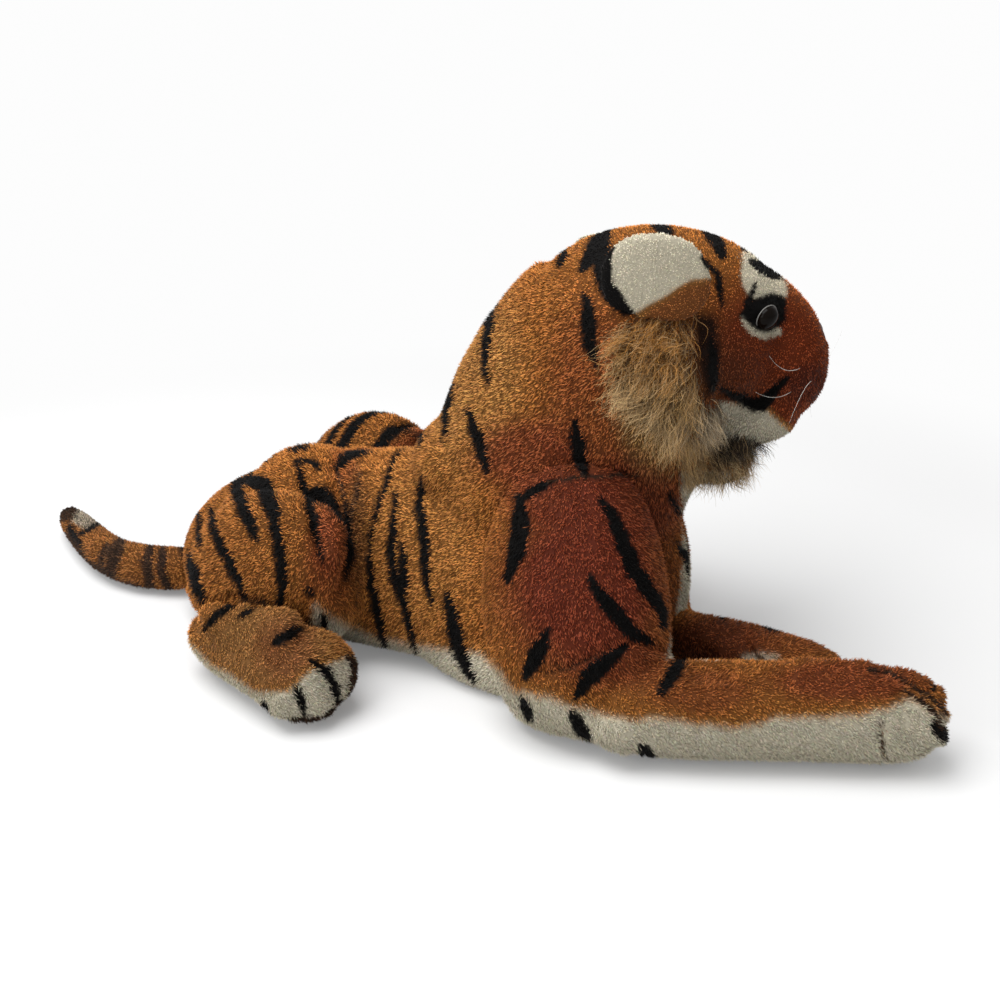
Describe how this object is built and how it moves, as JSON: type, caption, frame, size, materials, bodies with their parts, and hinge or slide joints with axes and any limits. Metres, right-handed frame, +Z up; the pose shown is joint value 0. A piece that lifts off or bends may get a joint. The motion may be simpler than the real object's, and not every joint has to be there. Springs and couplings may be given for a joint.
{
  "type": "plush tiger",
  "caption": "Lying plush tiger with raised turned head, stretched forelegs, tucked hind legs, safety eyes, folding ears and a curled tail.",
  "frame": {"origin": "on the floor, under the centre of the toy's bounds", "axes": "+X from the tail to the forepaws, +Y to the tiger's left, +Z up from the floor"},
  "size_m": [0.6873, 0.3366, 0.2977],
  "materials": {
    "tan_plush": "short pile, matte",
    "rust_plush": "short pile, matte",
    "cream_plush": "short pile, matte",
    "ruff_plush": "long pile, matte",
    "polyester_fill": "loose fibre",
    "eye_plastic": "polished",
    "washer_plastic": "moulded",
    "nose_plastic": "satin",
    "whisker_nylon": "drawn thread"
  },
  "bodies": {
    "body": {"torso_casing": "tan_plush", "torso_stuffing": "polyester_fill", "neck_chest": "tan_plush", "upper_arm_left": "rust_plush", "upper_arm_right": "rust_plush", "haunch_left": "tan_plush", "haunch_right": "tan_plush"},
    "head": {"head_casing": "rust_plush", "head_stuffing": "polyester_fill", "muzzle": "rust_plush", "chin": "cream_plush", "nose": "nose_plastic", "eye_left": "eye_plastic", "eye_right": "eye_plastic", "eye_washer_left": "washer_plastic", "eye_washer_right": "washer_plastic", "cheek_ruff_left": "ruff_plush", "cheek_ruff_right": "ruff_plush", "whisker_left_1": "whisker_nylon", "whisker_left_2": "whisker_nylon", "whisker_left_3": "whisker_nylon", "whisker_right_1": "whisker_nylon", "whisker_right_2": "whisker_nylon", "whisker_right_3": "whisker_nylon"},
    "ear_flap_left": {"ear_left": "cream_plush"},
    "ear_flap_right": {"ear_right": "cream_plush"},
    "foreleg_left": {"forearm_left": "rust_plush"},
    "foreleg_right": {"forearm_right": "rust_plush"},
    "foot_left": {"hind_foot_left": "tan_plush"},
    "foot_right": {"hind_foot_right": "tan_plush"},
    "tail_body": {"tail": "tan_plush"}
  },
  "joints": [
    {"name": "head_turn", "type": "hinge", "parent": "body", "child": "head", "pos_m": [0.14016, 0, 0.206], "axis": [0.6428, 0, 0.766], "range_deg": [-15, 15], "stiffness_Nm_per_rad": 1.5},
    {"name": "ear_right_fold", "type": "hinge", "parent": "head", "child": "ear_flap_right", "pos_m": [0.1547, -0.05633, 0.2494], "axis": [-0.9945, -0.1045, 0], "range_deg": [-20, 20], "stiffness_Nm_per_rad": 0.15},
    {"name": "ear_left_fold", "type": "hinge", "parent": "head", "child": "ear_flap_left", "pos_m": [0.11509, 0.0525, 0.2494], "axis": [-0.829, -0.5592, 0], "range_deg": [-20, 6], "stiffness_Nm_per_rad": 0.15},
    {"name": "foreleg_right_swing", "type": "hinge", "parent": "body", "child": "foreleg_right", "pos_m": [0.15946, -0.12166, 0], "axis": [0, 0, 1], "range_deg": [-12, 2], "stiffness_Nm_per_rad": 0.8},
    {"name": "foreleg_left_swing", "type": "hinge", "parent": "body", "child": "foreleg_left", "pos_m": [0.14805, 0.08476, 0], "axis": [0, 0, 1], "range_deg": [-2, 12], "stiffness_Nm_per_rad": 0.8},
    {"name": "foot_right_swing", "type": "hinge", "parent": "body", "child": "foot_right", "pos_m": [-0.10234, -0.106, 0], "axis": [0, 0, 1], "range_deg": [-8, 8], "stiffness_Nm_per_rad": 0.6},
    {"name": "foot_left_swing", "type": "hinge", "parent": "body", "child": "foot_left", "pos_m": [-0.10234, 0.106, 0], "axis": [0, 0, 1], "range_deg": [-8, 8], "stiffness_Nm_per_rad": 0.6},
    {"name": "tail_swing", "type": "hinge", "parent": "body", "child": "tail_body", "pos_m": [-0.17835, 0, 0], "axis": [0, 0, 1], "range_deg": [-10, 10], "stiffness_Nm_per_rad": 0.2}
  ]
}
